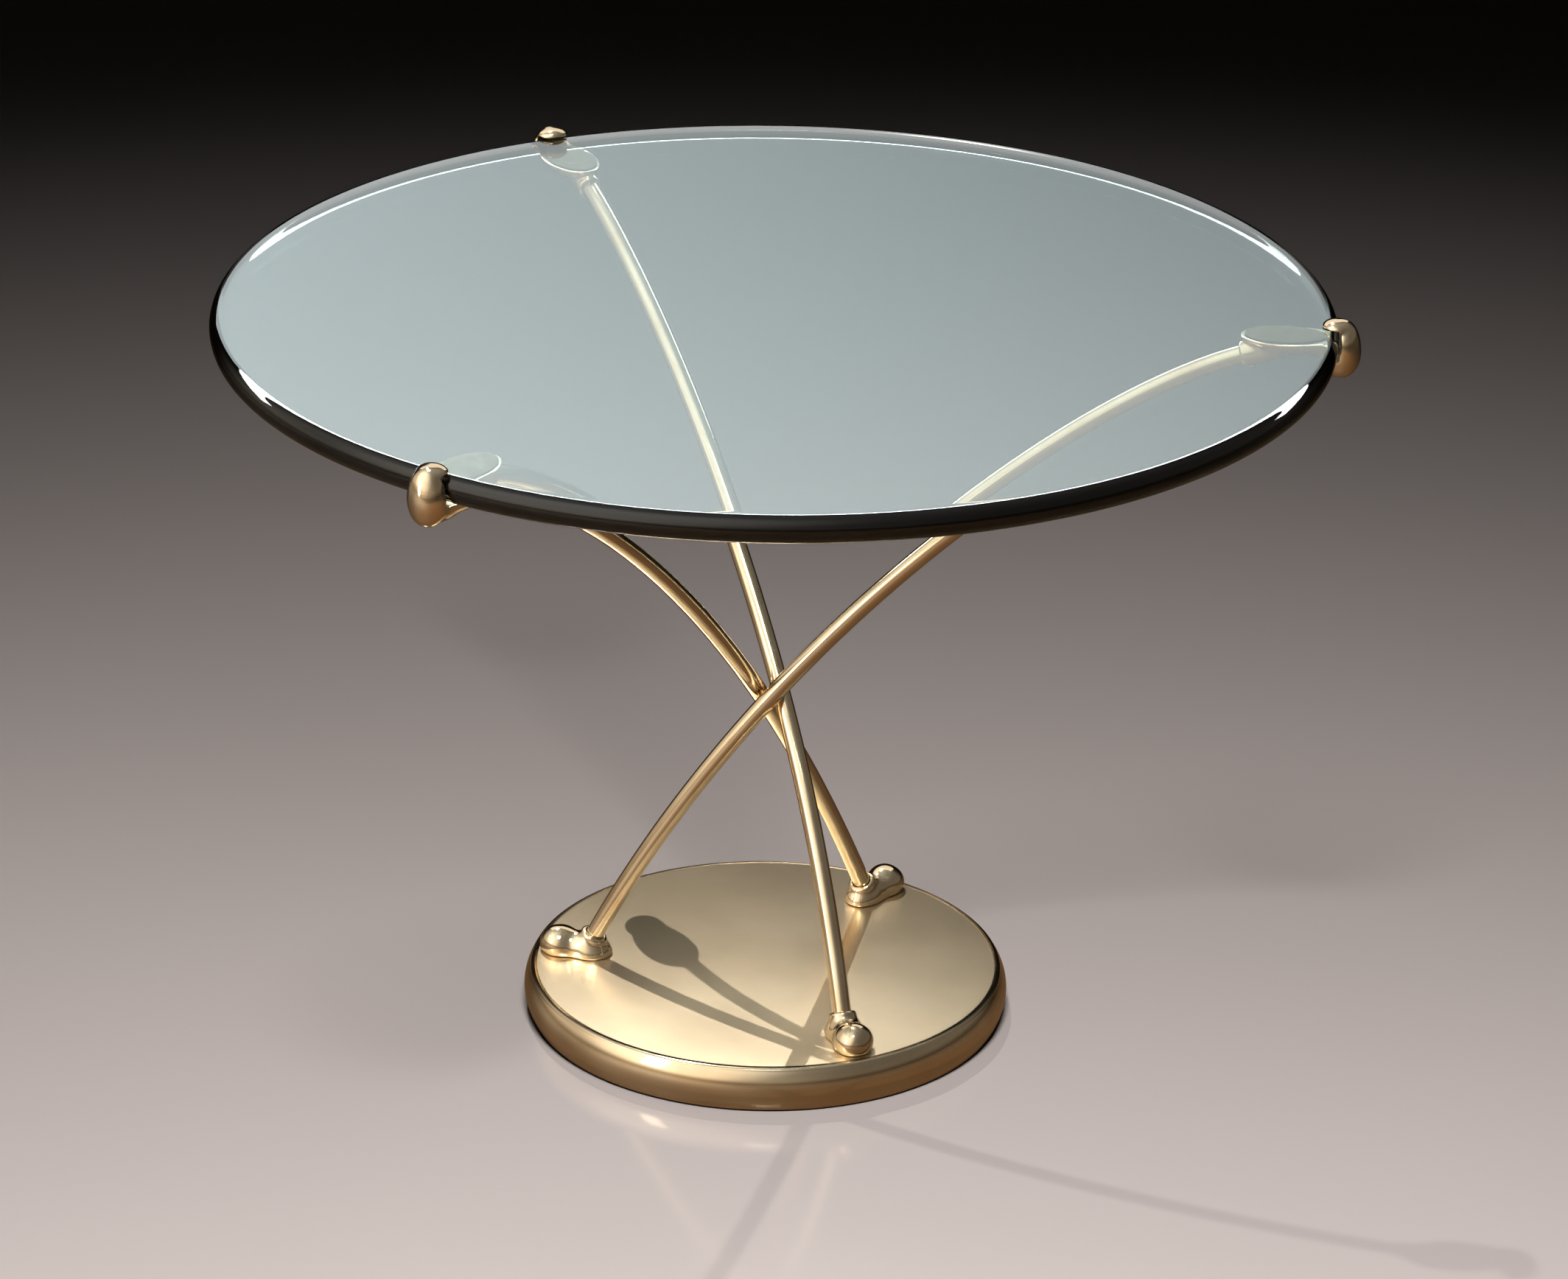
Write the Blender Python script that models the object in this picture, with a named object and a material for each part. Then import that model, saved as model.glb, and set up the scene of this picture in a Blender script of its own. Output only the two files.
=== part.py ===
"""Round occasional table: a clear glass disc held by three rim claws on
three crossed, arched metal rods that rise from a weighted round base.

Metres, +Z up.  The table's axis is the Z axis and the floor is z = 0.
"""
from math import cos, pi, radians, sin, sqrt

import bmesh
import bpy
from mathutils import Matrix, Vector

# ----------------------------------------------------------- dimensions ----
MM = 0.001
GAP = 0.3 * MM                  # clearance between neighbouring pieces

# glass top
GLASS_RADIUS = 381.0 * MM
GLASS_THICKNESS = 19.0 * MM
GLASS_TOP_Z = 527.0 * MM
GLASS_EDGE_DEPTH = 8.6 * MM     # how far the rounded edge reaches inward
GLASS_BOTTOM_Z = GLASS_TOP_Z - GLASS_THICKNESS

# base stack, from the floor up
FELT_RADIUS = 158.0 * MM
FELT_TOP_Z = 2.0 * MM
PLATE_RADIUS = 160.5 * MM
PLATE_BOTTOM_Z = FELT_TOP_Z + GAP
PLATE_TOP_Z = PLATE_BOTTOM_Z + 2.0 * MM
WEIGHT_RADIUS = 160.0 * MM
WEIGHT_BOTTOM_Z = PLATE_TOP_Z + GAP
WEIGHT_TOP_Z = 30.2 * MM
SHELL_WALL = 2.0 * MM
SHELL_TOP_Z = 32.5 * MM
SHELL_BOTTOM_Z = 1.2 * MM
SHELL_FLAT_RADIUS = 163.0 * MM  # edge of the flat top face
SHELL_RADIUS = 170.3 * MM       # widest point of the bulging rim
SHELL_FOOT_RADIUS = 164.5 * MM  # bottom lip, outer side

# leg rods: one arch, repeated three times round the axis
ROD_RADIUS = 6.35 * MM
ROD_FOOT_R = 121.3 * MM         # where the rod leaves its foot
ROD_FOOT_ANGLE = radians(-64.1)
ROD_FOOT_Z = SHELL_TOP_Z + 15.6 * MM
ROD_CLAW_R = 320.0 * MM         # where the rod meets its claw
ROD_CLAW_ANGLE = radians(115.0)
ROD_CLAW_Z = GLASS_TOP_Z - 32.5 * MM
ROD_FOOT_SLOPE = radians(63.8)
ROD_FOOT_REACH = 278.4 * MM     # curve handle at the foot
ROD_CLAW_SLOPE = radians(17.6)
ROD_CLAW_REACH = 116.0 * MM     # curve handle at the claw
ROD_LEAN = radians(-4.3)        # the arch leans sideways, clear of the others
ROD_IN_FOOT = 9.0 * MM          # length hidden in the foot's socket
ROD_IN_CLAW = 10.0 * MM         # length hidden in the claw's socket

# feet
FOOT_AXIS_ANGLE = radians(-72.0)
FOOT_BALL_OFFSET = 25.6 * MM    # from the rod to the knuckle's centre
FOOT_BALL = (14.5 * MM, 14.0 * MM, 13.0 * MM)
FOOT_BALL_Z = SHELL_TOP_Z + 6.0 * MM
FOOT_BOTTOM_Z = SHELL_TOP_Z + GAP

# claws
CLAW_ANGLE = radians(115.5)
PAD_THICKNESS = 1.0 * MM
PAD_SLACK = 0.15 * MM
TONGUE_TOP_Z = GLASS_BOTTOM_Z - PAD_THICKNESS - 2 * PAD_SLACK
TONGUE_INNER_R = 314.0 * MM
TONGUE_WIDEST_R = 344.0 * MM
TONGUE_OUTER_R = 386.0 * MM
TONGUE_HALF_WIDTH = 19.5 * MM
TONGUE_HALF_WIDTH_AT_RIM = 12.5 * MM
KNUCKLE_R = 383.2 * MM
KNUCKLE_Z = GLASS_BOTTOM_Z + 4.6 * MM
KNUCKLE = (12.8 * MM, 14.2 * MM, 20.6 * MM)
LIP_R = 378.0 * MM
LIP = (9.6 * MM, 11.6 * MM, 5.6 * MM)
RIM_CLEARANCE = 0.8 * MM
GROOVE_CORNER = 2.4 * MM        # rounding of the groove that takes the rim

# fasteners
FOOT_BOLT_R = 4.0 * MM
FOOT_BOLT_HEAD_R = 6.5 * MM
FOOT_BOLT_HEAD_H = 8.0 * MM
COUNTERBORE_R = 9.5 * MM
COUNTERBORE_ROOF_Z = WEIGHT_BOTTOM_Z + 11.0 * MM
WASHER_R = 8.5 * MM
WASHER_T = 1.6 * MM
GRUB_R = 2.5 * MM
PLATE_SCREW_R = 2.5 * MM
PLATE_SCREW_HEAD_R = 4.6 * MM
PLATE_SCREW_PITCH_R = 110.0 * MM
PLATE_SCREW_TOP_Z = 14.0 * MM

STATIONS = ("a", "b", "c")      # a at 0, b at +120, c at +240 degrees
THIRD = 2 * pi / 3

# ------------------------------------------------------------- clean up ----
for old in list(bpy.data.objects):
    bpy.data.objects.remove(old, do_unlink=True)


# ------------------------------------------------------------ materials ----
def material(name, colour, roughness, metallic, alpha=1.0):
    mat = bpy.data.materials.new(name)
    mat.use_nodes = True
    shader = mat.node_tree.nodes["Principled BSDF"]
    shader.inputs["Base Color"].default_value = (*colour, 1.0)
    shader.inputs["Roughness"].default_value = roughness
    shader.inputs["Metallic"].default_value = metallic
    shader.inputs["Alpha"].default_value = alpha
    mat.diffuse_color = (*colour, alpha)
    return mat


CLEAR_GLASS = ((0.74, 0.84, 0.84), 0.02, 0.0, 0.35)
SATIN_BRONZE = ((0.62, 0.50, 0.36), 0.30, 1.0)
POLISHED_BRONZE = ((0.68, 0.55, 0.41), 0.12, 1.0)
CAST_IRON = ((0.08, 0.08, 0.085), 0.70, 0.9)
BLACK_PAINT = ((0.03, 0.03, 0.032), 0.45, 0.2)
FELT = ((0.11, 0.085, 0.065), 0.95, 0.0)
CLEAR_RUBBER = ((0.80, 0.83, 0.82), 0.25, 0.0, 0.6)
ZINC_STEEL = ((0.56, 0.57, 0.58), 0.32, 1.0)

frame = bpy.data.objects.new("table_frame", None)
bpy.context.scene.collection.objects.link(frame)


def add_object(name, mesh, look, angle=0.0, smooth=True):
    """Link a mesh as one named piece, turned about the table's axis."""
    obj = bpy.data.objects.new(name, mesh)
    bpy.context.scene.collection.objects.link(obj)
    obj.parent = frame
    obj.rotation_euler = (0.0, 0.0, angle)
    mesh.materials.append(material(name + "_finish", *look))
    mesh.polygons.foreach_set("use_smooth", [smooth] * len(mesh.polygons))
    return obj


def add_cutter(name, mesh, angle=0.0):
    obj = bpy.data.objects.new(name, mesh)
    bpy.context.scene.collection.objects.link(obj)
    obj.parent = frame
    obj.rotation_euler = (0.0, 0.0, angle)
    obj.hide_render = True
    obj.display_type = 'WIRE'
    CUTTERS.append(obj)
    return obj


def combine(obj, other, operation):
    mod = obj.modifiers.new(operation.lower() + "_" + other.name, 'BOOLEAN')
    mod.operation = operation
    mod.solver = 'EXACT'
    mod.object = other


CUTTERS = []


# --------------------------------------------------------------- shapes ----
def finish_mesh(name, bm):
    bmesh.ops.remove_doubles(bm, verts=bm.verts, dist=1e-6)
    bmesh.ops.dissolve_degenerate(bm, edges=bm.edges, dist=1e-7)
    bmesh.ops.recalc_face_normals(bm, faces=bm.faces)
    mesh = bpy.data.meshes.new(name)
    bm.to_mesh(mesh)
    bm.free()
    return mesh


def lathe(name, profile, steps, centre=(0.0, 0.0), closed=False):
    """Spin a radius/height profile about a vertical line."""
    bm = bmesh.new()
    verts = [bm.verts.new((r, 0.0, z)) for r, z in profile]
    edges = [bm.edges.new(pair) for pair in zip(verts, verts[1:])]
    if closed:
        edges.append(bm.edges.new((verts[-1], verts[0])))
    bmesh.ops.spin(bm, geom=verts + edges, cent=(0, 0, 0), axis=(0, 0, 1),
                   angle=2 * pi, steps=steps, use_merge=True)
    bmesh.ops.translate(bm, verts=bm.verts, vec=(centre[0], centre[1], 0.0))
    return finish_mesh(name, bm)


def loft(name, rings):
    """Bridge equal rings of points and cap both ends."""
    bm = bmesh.new()
    loops = [[bm.verts.new(p) for p in ring] for ring in rings]
    count = len(loops[0])
    for low, high in zip(loops, loops[1:]):
        for i in range(count):
            j = (i + 1) % count
            bm.faces.new((low[i], low[j], high[j], high[i]))
    bm.faces.new(loops[0])
    bm.faces.new(list(reversed(loops[-1])))
    return finish_mesh(name, bm)


def ellipsoid(name, centre, radii, u=18, v=10, taper=0.0, turn=0.0):
    """A ball scaled on each axis; taper narrows it towards the top."""
    bm = bmesh.new()
    bmesh.ops.create_uvsphere(bm, u_segments=u, v_segments=v, radius=1.0)
    for vert in bm.verts:
        s = 1.0 - taper * vert.co.z
        vert.co = Vector((vert.co.x * radii[0] * s, vert.co.y * radii[1] * s,
                          vert.co.z * radii[2]))
    bmesh.ops.rotate(bm, verts=bm.verts, matrix=Matrix.Rotation(turn, 3, 'Z'))
    bmesh.ops.translate(bm, verts=bm.verts, vec=centre)
    return finish_mesh(name, bm)


def cylinder(name, centre, radius, z0, z1, sides=24):
    bm = bmesh.new()
    bmesh.ops.create_cone(bm, cap_ends=True, segments=sides, radius1=radius,
                          radius2=radius, depth=z1 - z0)
    bmesh.ops.translate(bm, verts=bm.verts,
                        vec=(centre[0], centre[1], (z0 + z1) / 2))
    return finish_mesh(name, bm)


def sweep(name, path, radius, sides):
    """A round bar along a path of points, with flat ends."""
    tangents = []
    for i in range(len(path)):
        a = path[max(i - 1, 0)]
        b = path[min(i + 1, len(path) - 1)]
        tangents.append((b - a).normalized())
    normal = tangents[0].orthogonal().normalized()
    rings = []
    for point, tangent in zip(path, tangents):
        normal = (normal - tangent * normal.dot(tangent)).normalized()
        side = tangent.cross(normal)
        rings.append([point + (normal * cos(a) + side * sin(a)) * radius
                      for a in (2 * pi * k / sides for k in range(sides))])
    return loft(name, rings)


# -------------------------------------------------------------- rod path ----
def polar(radius, angle, z):
    return Vector((radius * cos(angle), radius * sin(angle), z))


ROD_FOOT = polar(ROD_FOOT_R, ROD_FOOT_ANGLE, ROD_FOOT_Z)
ROD_CLAW = polar(ROD_CLAW_R, ROD_CLAW_ANGLE, ROD_CLAW_Z)
heading = Vector((ROD_CLAW.x - ROD_FOOT.x, ROD_CLAW.y - ROD_FOOT.y, 0.0))
heading.normalize()
lean_up = (Vector((0, 0, 1)) * cos(ROD_LEAN)
           + Vector((0, 0, 1)).cross(heading) * sin(ROD_LEAN))
FOOT_DIR = heading * cos(ROD_FOOT_SLOPE) + lean_up * sin(ROD_FOOT_SLOPE)
CLAW_DIR = heading * cos(ROD_CLAW_SLOPE) + lean_up * sin(ROD_CLAW_SLOPE)


def arch(t):
    """The rod's centre line, a cubic arc from foot (0) to claw (1)."""
    p0, p3 = ROD_FOOT, ROD_CLAW
    p1 = p0 + FOOT_DIR * ROD_FOOT_REACH
    p2 = p3 - CLAW_DIR * ROD_CLAW_REACH
    s = 1 - t
    return p0 * s ** 3 + p1 * 3 * s * s * t + p2 * 3 * s * t * t + p3 * t ** 3


def rod_path(foot_extra, claw_extra, count):
    points = [arch(i / count) for i in range(count + 1)]
    return ([ROD_FOOT - FOOT_DIR * foot_extra] + points
            + [ROD_CLAW + CLAW_DIR * claw_extra])


# ------------------------------------------------------------- glass top ----
def rounded_edge(r_out, depth, z0, z1, steps):
    """Half an ellipse from the bottom face to the top face."""
    mid, half = (z0 + z1) / 2, (z1 - z0) / 2
    return [(r_out - depth + depth * cos(a), mid + half * sin(a))
            for a in (-pi / 2 + pi * k / steps for k in range(steps + 1))]


glass = add_object(
    "glass_top",
    lathe("glass_top",
          [(0.0, GLASS_BOTTOM_Z)]
          + rounded_edge(GLASS_RADIUS, GLASS_EDGE_DEPTH, GLASS_BOTTOM_Z,
                         GLASS_TOP_Z, 7)
          + [(0.0, GLASS_TOP_Z)], 96),
    CLEAR_GLASS)

# ------------------------------------------------------------------ base ----
add_object("base_felt_pad",
           lathe("base_felt_pad", [(0.0, 0.0), (FELT_RADIUS, 0.0),
                                   (FELT_RADIUS, FELT_TOP_Z),
                                   (0.0, FELT_TOP_Z)], 60),
           FELT, smooth=False)

plate = add_object("base_bottom_plate",
                   lathe("base_bottom_plate",
                         [(0.0, PLATE_BOTTOM_Z), (PLATE_RADIUS, PLATE_BOTTOM_Z),
                          (PLATE_RADIUS, PLATE_TOP_Z), (0.0, PLATE_TOP_Z)], 60),
                   BLACK_PAINT, smooth=False)

weight = add_object("base_weight",
                    lathe("base_weight",
                          [(0.0, WEIGHT_BOTTOM_Z),
                           (WEIGHT_RADIUS, WEIGHT_BOTTOM_Z),
                           (WEIGHT_RADIUS, WEIGHT_TOP_Z - 3 * MM),
                           (WEIGHT_RADIUS - 3 * MM, WEIGHT_TOP_Z),
                           (0.0, WEIGHT_TOP_Z)], 60),
                    CAST_IRON, smooth=False)


def shell_outline(offset, steps):
    """The cover's side from its bottom lip up to the edge of the top face."""
    z_low, z_high = SHELL_BOTTOM_Z, SHELL_TOP_Z - offset
    points = []
    for k in range(steps + 1):
        f = k / steps
        bulge = sin(pi * (0.06 + 0.90 * f)) ** 0.75
        base_r = SHELL_FOOT_RADIUS + (SHELL_FLAT_RADIUS
                                      - SHELL_FOOT_RADIUS) * f
        points.append((base_r - offset
                       + (SHELL_RADIUS - base_r) * bulge * (1 - offset / 0.03),
                       z_low + (z_high - z_low) * f))
    return points


outer = shell_outline(0.0, 9)
outer[-1] = (SHELL_FLAT_RADIUS, SHELL_TOP_Z)
inner = shell_outline(SHELL_WALL, 4)
shell = add_object("base_shell",
                   lathe("base_shell",
                         [(0.0, SHELL_TOP_Z - SHELL_WALL)]
                         + list(reversed(inner)) + outer
                         + [(0.0, SHELL_TOP_Z)], 80),
                   SATIN_BRONZE)

for index in range(3):
    turn = index * THIRD
    hole = add_cutter("cut_plate_screw_" + STATIONS[index],
                      lathe("cut_plate_screw",
                            [(0.0, PLATE_BOTTOM_Z - 1 * MM),
                             (PLATE_SCREW_HEAD_R + GAP + 1 * MM,
                              PLATE_BOTTOM_Z - 1 * MM),
                             (PLATE_SCREW_R + GAP, PLATE_TOP_Z - 0.1 * MM),
                             (PLATE_SCREW_R + GAP, PLATE_SCREW_TOP_Z + 2 * MM),
                             (0.0, PLATE_SCREW_TOP_Z + 2 * MM)], 16,
                            (PLATE_SCREW_PITCH_R, 0.0)), turn)
    combine(plate, hole, 'DIFFERENCE')
    combine(weight, hole, 'DIFFERENCE')

# ---------------------------------------------------------- leg assembly ----
foot_ball = (ROD_FOOT.x + FOOT_BALL_OFFSET * cos(FOOT_AXIS_ANGLE),
             ROD_FOOT.y + FOOT_BALL_OFFSET * sin(FOOT_AXIS_ANGLE))
bolt_at = (ROD_FOOT.x + 21.0 * MM * cos(FOOT_AXIS_ANGLE),
           ROD_FOOT.y + 21.0 * MM * sin(FOOT_AXIS_ANGLE))
rod_end_low = ROD_FOOT - FOOT_DIR * ROD_IN_FOOT
rod_end_high = ROD_CLAW + CLAW_DIR * ROD_IN_CLAW


def along_foot(distance, z):
    return (ROD_FOOT.x + distance * cos(FOOT_AXIS_ANGLE),
            ROD_FOOT.y + distance * sin(FOOT_AXIS_ANGLE), z)


def capped_bar(name, start, end, radius, sides=20):
    """A straight round bar whose ends are rounded over."""
    axis = (end - start)
    length = axis.length
    axis.normalize()
    path, radii = [], []
    for k in range(4):
        a = pi / 2 * k / 4
        path.append(start + axis * (radius * 0.35 * (1 - sin(a))))
        radii.append(radius * (1 - 0.28 * (1 - sin(a))))
    path.append(start + axis * radius * 0.5)
    radii.append(radius)
    path.append(start + axis * (length - radius * 0.3))
    radii.append(radius)
    path.append(end)
    radii.append(radius * 0.72)
    ordered = sorted(zip([(p - start).dot(axis) for p in path], radii))
    normal = axis.orthogonal().normalized()
    side = axis.cross(normal)
    rings, last = [], None
    for distance, r in ordered:
        if last is not None and distance - last < 1e-5:
            continue
        last = distance
        centre = start + axis * distance
        rings.append([centre + (normal * cos(a) + side * sin(a)) * r
                      for a in (2 * pi * j / sides for j in range(sides))])
    return loft(name, rings)


def tongue_half_width(r):
    if r <= TONGUE_WIDEST_R:
        f = (TONGUE_WIDEST_R - r) / (TONGUE_WIDEST_R - TONGUE_INNER_R)
        return TONGUE_HALF_WIDTH * sqrt(max(0.0, 1 - f ** 2.2))
    f = (r - TONGUE_WIDEST_R) / (TONGUE_OUTER_R - TONGUE_WIDEST_R)
    return (TONGUE_HALF_WIDTH_AT_RIM + (TONGUE_HALF_WIDTH
            - TONGUE_HALF_WIDTH_AT_RIM) * (0.5 + 0.5 * cos(pi * f)))


def tongue_depth(r):
    f = (r - TONGUE_INNER_R) / (TONGUE_OUTER_R - TONGUE_INNER_R)
    return (5.0 + 5.5 * sin(pi / 2 * min(1.0, f * 3.0)) + 4.0 * f ** 2.5) * MM


def tongue_mesh(name):
    """Flat-topped oval blade with a rounded belly, along +X."""
    rings = []
    count = 10
    for k in range(count + 1):
        f = k / count
        r = TONGUE_INNER_R + (TONGUE_OUTER_R - TONGUE_INNER_R) * (
            0.012 + 0.988 * f ** 1.35)
        half, deep = tongue_half_width(r), tongue_depth(r)
        top = [Vector((r, half * c, TONGUE_TOP_Z))
               for c in (-0.93, -0.45, 0.0, 0.45, 0.93)]
        belly = [Vector((r, half * cos(a),
                         TONGUE_TOP_Z - 1.5 * MM
                         - (deep - 1.5 * MM) * sin(a)))
                 for a in (pi * j / 7 for j in range(8))]
        rings.append(top + belly)
    return loft(name, rings)


for index, letter in enumerate(STATIONS):
    turn = index * THIRD

    # the rod
    add_object("leg_rod_" + letter,
               sweep("leg_rod_" + letter,
                     rod_path(ROD_IN_FOOT, ROD_IN_CLAW, 26), ROD_RADIUS, 16),
               POLISHED_BRONZE, turn)
    rod_socket = add_cutter(
        "cut_rod_" + letter,
        sweep("cut_rod", rod_path(ROD_IN_FOOT + GAP, ROD_IN_CLAW + GAP, 26),
              ROD_RADIUS + GAP, 16), turn)

    # the foot: knuckle, neck, toe and collar in one casting
    foot = add_object("foot_casting_" + letter,
                      ellipsoid("foot_casting",
                                (*foot_ball, FOOT_BALL_Z), FOOT_BALL, 20, 12,
                                turn=FOOT_AXIS_ANGLE + 0.07),
                      POLISHED_BRONZE, turn)
    neck = add_cutter("join_neck_" + letter,
                      ellipsoid("join_neck",
                                along_foot(12.0 * MM, SHELL_TOP_Z + 2 * MM),
                                (17.5 * MM, 10.8 * MM, 11.5 * MM), 16, 10,
                                turn=FOOT_AXIS_ANGLE - 0.05), turn)
    toe = add_cutter("join_toe_" + letter,
                     ellipsoid("join_toe",
                               along_foot(3.0 * MM, SHELL_TOP_Z + 1 * MM),
                               (14.5 * MM, 12.4 * MM, 10.5 * MM), 18, 10,
                               turn=FOOT_AXIS_ANGLE + 0.12), turn)
    collar = add_cutter("join_collar_" + letter,
                        capped_bar("join_collar",
                                   ROD_FOOT + FOOT_DIR * 0.6 * MM,
                                   ROD_FOOT - FOOT_DIR * 13.0 * MM,
                                   9.2 * MM), turn)
    floor_cut = add_cutter("cut_base_" + letter,
                           cylinder("cut_base", (ROD_FOOT.x, ROD_FOOT.y),
                                    60 * MM, SHELL_TOP_Z - 40 * MM,
                                    FOOT_BOTTOM_Z, 32), turn)
    bolt_hole = add_cutter("cut_bolt_" + letter,
                           cylinder("cut_bolt", bolt_at, FOOT_BOLT_R + GAP,
                                    WEIGHT_BOTTOM_Z - 1 * MM,
                                    SHELL_TOP_Z + 12.4 * MM, 20), turn)
    bolt_recess = add_cutter("cut_recess_" + letter,
                             cylinder("cut_recess", bolt_at, COUNTERBORE_R,
                                      WEIGHT_BOTTOM_Z - 1 * MM,
                                      COUNTERBORE_ROOF_Z, 20), turn)
    grub_hole = add_cutter("cut_foot_grub_" + letter,
                           cylinder("cut_foot_grub",
                                    (rod_end_low.x, rod_end_low.y),
                                    GRUB_R + GAP, SHELL_TOP_Z - 1 * MM,
                                    rod_end_low.z + 1 * MM, 12), turn)
    for part in (neck, toe, collar):
        combine(foot, part, 'UNION')
    for part in (rod_socket, bolt_hole, grub_hole, floor_cut):
        combine(foot, part, 'DIFFERENCE')
    combine(shell, bolt_hole, 'DIFFERENCE')
    combine(weight, bolt_hole, 'DIFFERENCE')
    combine(weight, bolt_recess, 'DIFFERENCE')

    # the claw: tongue, rod boss and knuckle in one casting
    claw = add_object("claw_casting_" + letter, tongue_mesh("claw_casting"),
                      POLISHED_BRONZE, turn + CLAW_ANGLE)
    boss = add_cutter("join_boss_" + letter,
                      capped_bar("join_boss", ROD_CLAW - CLAW_DIR * 5.0 * MM,
                                 ROD_CLAW + CLAW_DIR * 22.0 * MM, 9.4 * MM),
                      turn)
    knuckle = add_cutter("join_knuckle_" + letter,
                         ellipsoid("join_knuckle",
                                   (KNUCKLE_R, 0.0, KNUCKLE_Z), KNUCKLE,
                                   20, 12, taper=0.06), turn + CLAW_ANGLE)
    lip = add_cutter("join_lip_" + letter,
                     ellipsoid("join_lip",
                               (LIP_R, 0.0, GLASS_TOP_Z + 0.9 * MM), LIP,
                               16, 10), turn + CLAW_ANGLE)
    arm = add_cutter("join_arm_" + letter,
                     ellipsoid("join_arm",
                               (371.0 * MM, 0.0, GLASS_BOTTOM_Z - 5.5 * MM),
                               (17.0 * MM, 11.8 * MM, 9.5 * MM), 16, 8),
                     turn + CLAW_ANGLE)
    rim_cut = add_cutter("cut_rim_" + letter,
                         lathe("cut_rim",
                               [(0.0, TONGUE_TOP_Z)]
                               + rounded_edge(GLASS_RADIUS + RIM_CLEARANCE,
                                              GROOVE_CORNER, TONGUE_TOP_Z,
                                              GLASS_TOP_Z + PAD_THICKNESS
                                              + 2 * PAD_SLACK, 6)
                               + [(0.0, GLASS_TOP_Z + PAD_THICKNESS
                                   + 2 * PAD_SLACK)], 120), turn)
    claw_grub_x = ROD_CLAW + CLAW_DIR * 3.0 * MM
    claw_grub_hole = add_cutter("cut_claw_grub_" + letter,
                                cylinder("cut_claw_grub",
                                         (claw_grub_x.x, claw_grub_x.y),
                                         GRUB_R + GAP,
                                         claw_grub_x.z - 20 * MM,
                                         claw_grub_x.z, 12), turn)
    for part in (arm, knuckle, lip, boss):
        combine(claw, part, 'UNION')
    for part in (rim_cut, rod_socket, claw_grub_hole):
        combine(claw, part, 'DIFFERENCE')

    # clear pads between the claw and the glass
    def oval(name, centre, half_x, half_y, z0, z1, sides):
        return loft(name, [[Vector((centre + half_x * cos(a),
                                    half_y * sin(a), z))
                            for a in (2 * pi * k / sides
                                      for k in range(sides))]
                           for z in (z0, z1)])

    add_object("claw_pad_" + letter,
               oval("claw_pad", 343.5 * MM, 25.0 * MM, 15.5 * MM,
                    TONGUE_TOP_Z + PAD_SLACK,
                    TONGUE_TOP_Z + PAD_SLACK + PAD_THICKNESS, 20),
               CLEAR_RUBBER, turn + CLAW_ANGLE, smooth=False)
    lip_pad = add_object("lip_pad_" + letter,
                         loft("lip_pad", [
                             [Vector((LIP_R + x, y, z)) for x, y in
                              ((-6.4 * MM, -5.0 * MM),
                               (0.4 * MM, -8.4 * MM),
                               (0.9 * MM, 0.0),
                               (0.4 * MM, 8.4 * MM),
                               (-6.4 * MM, 5.0 * MM),
                               (-8.2 * MM, 0.0))]
                             for z in (GLASS_TOP_Z + PAD_SLACK,
                                       GLASS_TOP_Z + PAD_SLACK
                                       + PAD_THICKNESS)]),
                         CLEAR_RUBBER, turn + CLAW_ANGLE, smooth=False)

    # socket-head bolt and washer under each foot
    head_top = COUNTERBORE_ROOF_Z - GAP - WASHER_T - GAP
    head_low = head_top - FOOT_BOLT_HEAD_H
    bolt = add_object("foot_bolt_" + letter,
                      lathe("foot_bolt",
                            [(0.0, head_low),
                             (FOOT_BOLT_HEAD_R - 0.6 * MM, head_low),
                             (FOOT_BOLT_HEAD_R, head_low + 0.6 * MM),
                             (FOOT_BOLT_HEAD_R, head_top),
                             (FOOT_BOLT_R, head_top),
                             (FOOT_BOLT_R, SHELL_TOP_Z + 11.3 * MM),
                             (FOOT_BOLT_R - 0.8 * MM, SHELL_TOP_Z + 12.1 * MM),
                             (0.0, SHELL_TOP_Z + 12.1 * MM)], 16, bolt_at),
                      ZINC_STEEL, turn)
    hex_cut = add_cutter("cut_bolt_hex_" + letter,
                         cylinder("cut_bolt_hex", bolt_at, 3.46 * MM,
                                  head_low - 1 * MM, head_low + 4 * MM, 6),
                         turn)
    combine(bolt, hex_cut, 'DIFFERENCE')
    add_object("foot_washer_" + letter,
               lathe("foot_washer",
                     [(FOOT_BOLT_R + GAP, COUNTERBORE_ROOF_Z - GAP - WASHER_T),
                      (WASHER_R, COUNTERBORE_ROOF_Z - GAP - WASHER_T),
                      (WASHER_R, COUNTERBORE_ROOF_Z - GAP),
                      (FOOT_BOLT_R + GAP, COUNTERBORE_ROOF_Z - GAP)], 18,
                     bolt_at, closed=True), ZINC_STEEL, turn, smooth=False)

    # set screws that lock the rod in its two sockets
    def grub(name, centre, z0, z1, turned):
        screw = add_object(name + letter,
                           lathe(name, [(0.0, z0), (GRUB_R, z0),
                                        (GRUB_R, z1 - 0.8 * MM),
                                        (GRUB_R - 0.8 * MM, z1), (0.0, z1)],
                                 12, centre), ZINC_STEEL, turned)
        socket = add_cutter("cut_" + name + "hex_" + letter,
                            cylinder("cut_grub_hex", centre, 1.44 * MM,
                                     z0 - 1 * MM, z0 + 1.8 * MM, 6), turned)
        combine(screw, socket, 'DIFFERENCE')

    grub("foot_set_screw_", (rod_end_low.x, rod_end_low.y),
         FOOT_BOTTOM_Z + 0.1 * MM,
         rod_end_low.z - ROD_RADIUS * cos(ROD_FOOT_SLOPE) - GAP, turn)
    grub("claw_set_screw_", (claw_grub_x.x, claw_grub_x.y),
         claw_grub_x.z - ROD_RADIUS - 3.9 * MM,
         claw_grub_x.z - ROD_RADIUS - 0.9 * MM, turn)

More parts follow.
